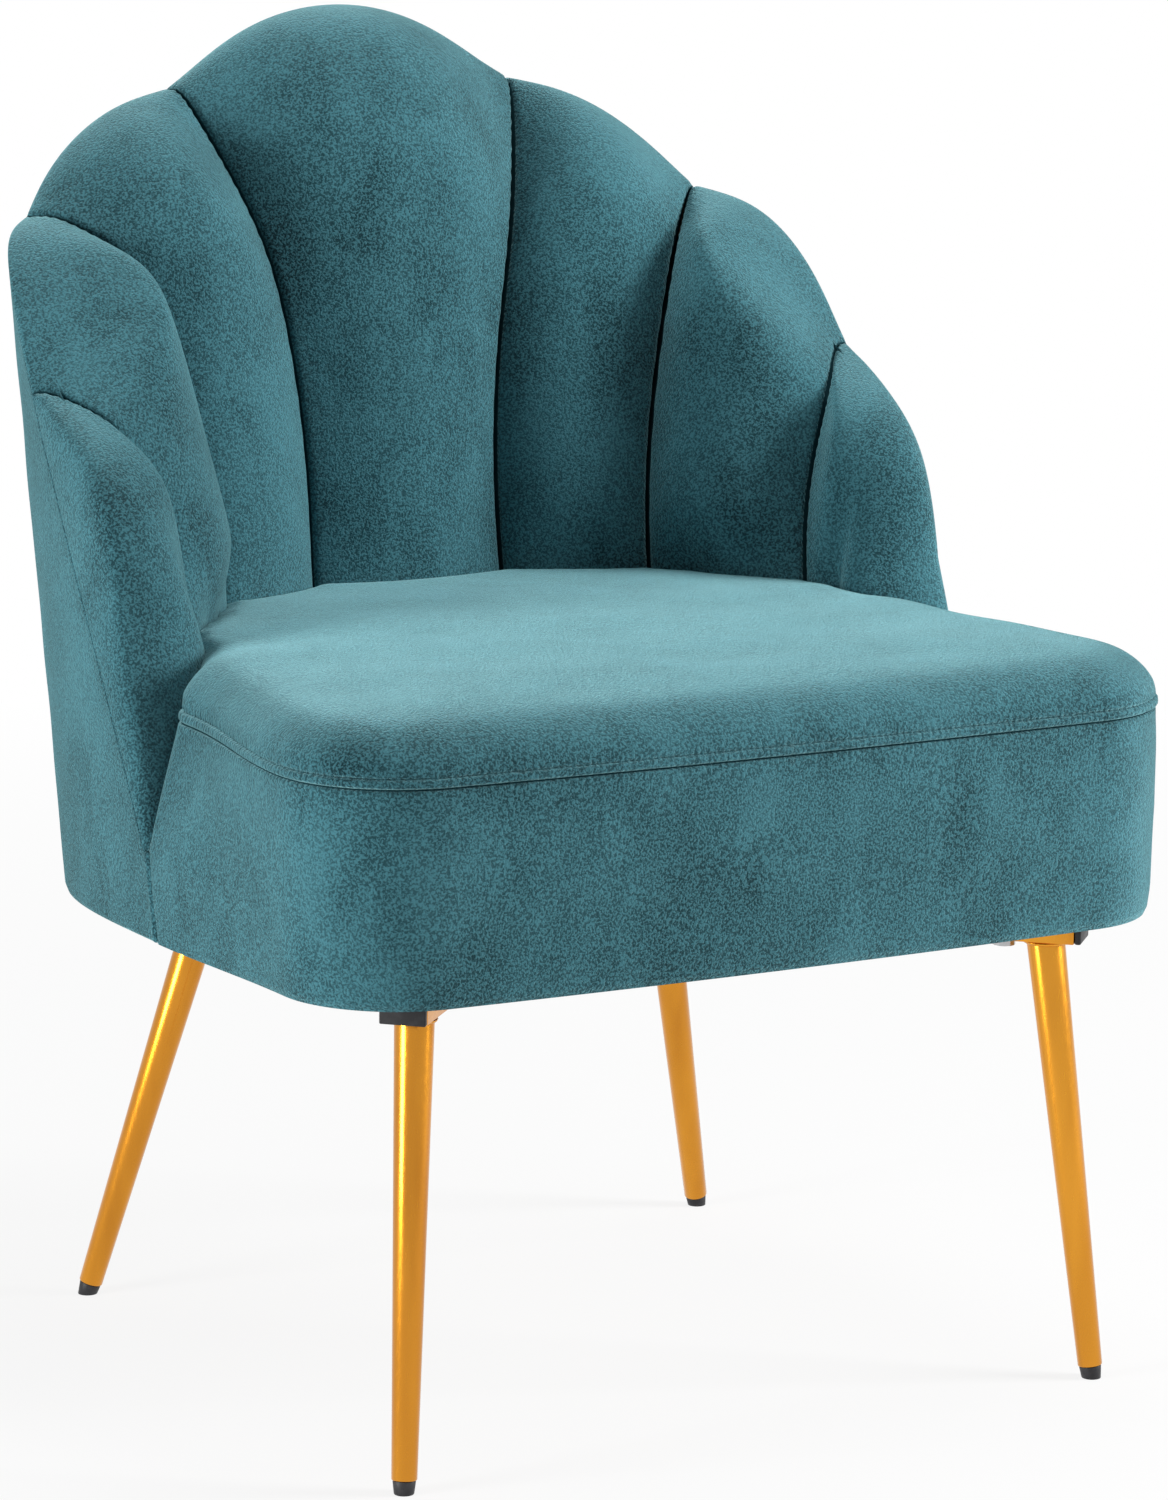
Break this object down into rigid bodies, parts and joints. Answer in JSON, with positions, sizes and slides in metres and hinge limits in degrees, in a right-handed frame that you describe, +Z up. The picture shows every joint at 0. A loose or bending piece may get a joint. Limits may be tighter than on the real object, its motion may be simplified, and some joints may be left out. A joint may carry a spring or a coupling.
{
  "type": "armchair",
  "caption": "Low lounge chair with a scalloped, channel-tufted tub back in teal velvet, a crowned boxed seat, and splayed tapered metal legs on a crossed-tube base.",
  "frame": {"origin": "on the floor, under the middle of the chair's overall width and depth", "axes": "+Z up, -Y the way a sitter faces, +X towards the right-hand side seen from the front"},
  "size_m": [0.6, 0.6018, 0.821],
  "materials": {
    "velvet": "short-pile velvet, matt with a soft sheen",
    "gold_finish": "gloss gold-coloured coating on steel",
    "steel": "zinc-plated",
    "black_plastic": "moulded, matt",
    "black_cloth": "thin non-woven cloth",
    "plywood": "bent plywood, unfinished",
    "webbing": "woven jute strap",
    "timber": "planed softwood, unfinished"
  },
  "bodies": {
    "root": {"back_channel_centre": "velvet", "back_channel_inner_right": "velvet", "back_channel_inner_left": "velvet", "back_channel_middle_right": "velvet", "back_channel_middle_left": "velvet", "back_channel_wing_right": "velvet", "back_channel_wing_left": "velvet", "outer_cover": "velvet", "front_rail": "timber", "base_bolt_front_left": "steel", "tee_nut_front_left": "steel", "base_bolt_front_right": "steel", "tee_nut_front_right": "steel", "base_bolt_rear_left": "steel", "tee_nut_rear_left": "steel", "base_bolt_rear_right": "steel", "tee_nut_rear_right": "steel", "corner_block_front_right": "timber", "corner_block_front_left": "timber", "corner_block_rear_right": "timber", "corner_block_rear_left": "timber", "shell_screw_rear_right": "steel", "shell_screw_side_back_right": "steel", "shell_screw_side_front_right": "steel", "shell_screw_rear_left": "steel", "shell_screw_side_back_left": "steel", "shell_screw_side_front_left": "steel", "back_shell": "plywood", "rear_rail": "timber", "side_rail_right": "timber", "side_rail_left": "timber", "webbing_long_1": "webbing", "webbing_long_2": "webbing", "webbing_long_3": "webbing", "webbing_cross_1": "webbing", "webbing_cross_2": "webbing", "webbing_cross_3": "webbing", "seat_cushion": "velvet", "dust_cover": "black_cloth", "base_tube_long": "gold_finish", "tube_plug_front_left": "black_plastic", "base_tube_half_front": "gold_finish", "tube_plug_front_right": "black_plastic", "base_tube_half_rear": "gold_finish", "tube_plug_rear_left": "black_plastic", "tube_plug_rear_right": "black_plastic", "leg_front_left": "gold_finish", "glide_front_left": "black_plastic", "leg_front_right": "gold_finish", "glide_front_right": "black_plastic", "leg_rear_left": "gold_finish", "glide_rear_left": "black_plastic", "leg_rear_right": "gold_finish", "glide_rear_right": "black_plastic"}
  },
  "joints": []
}
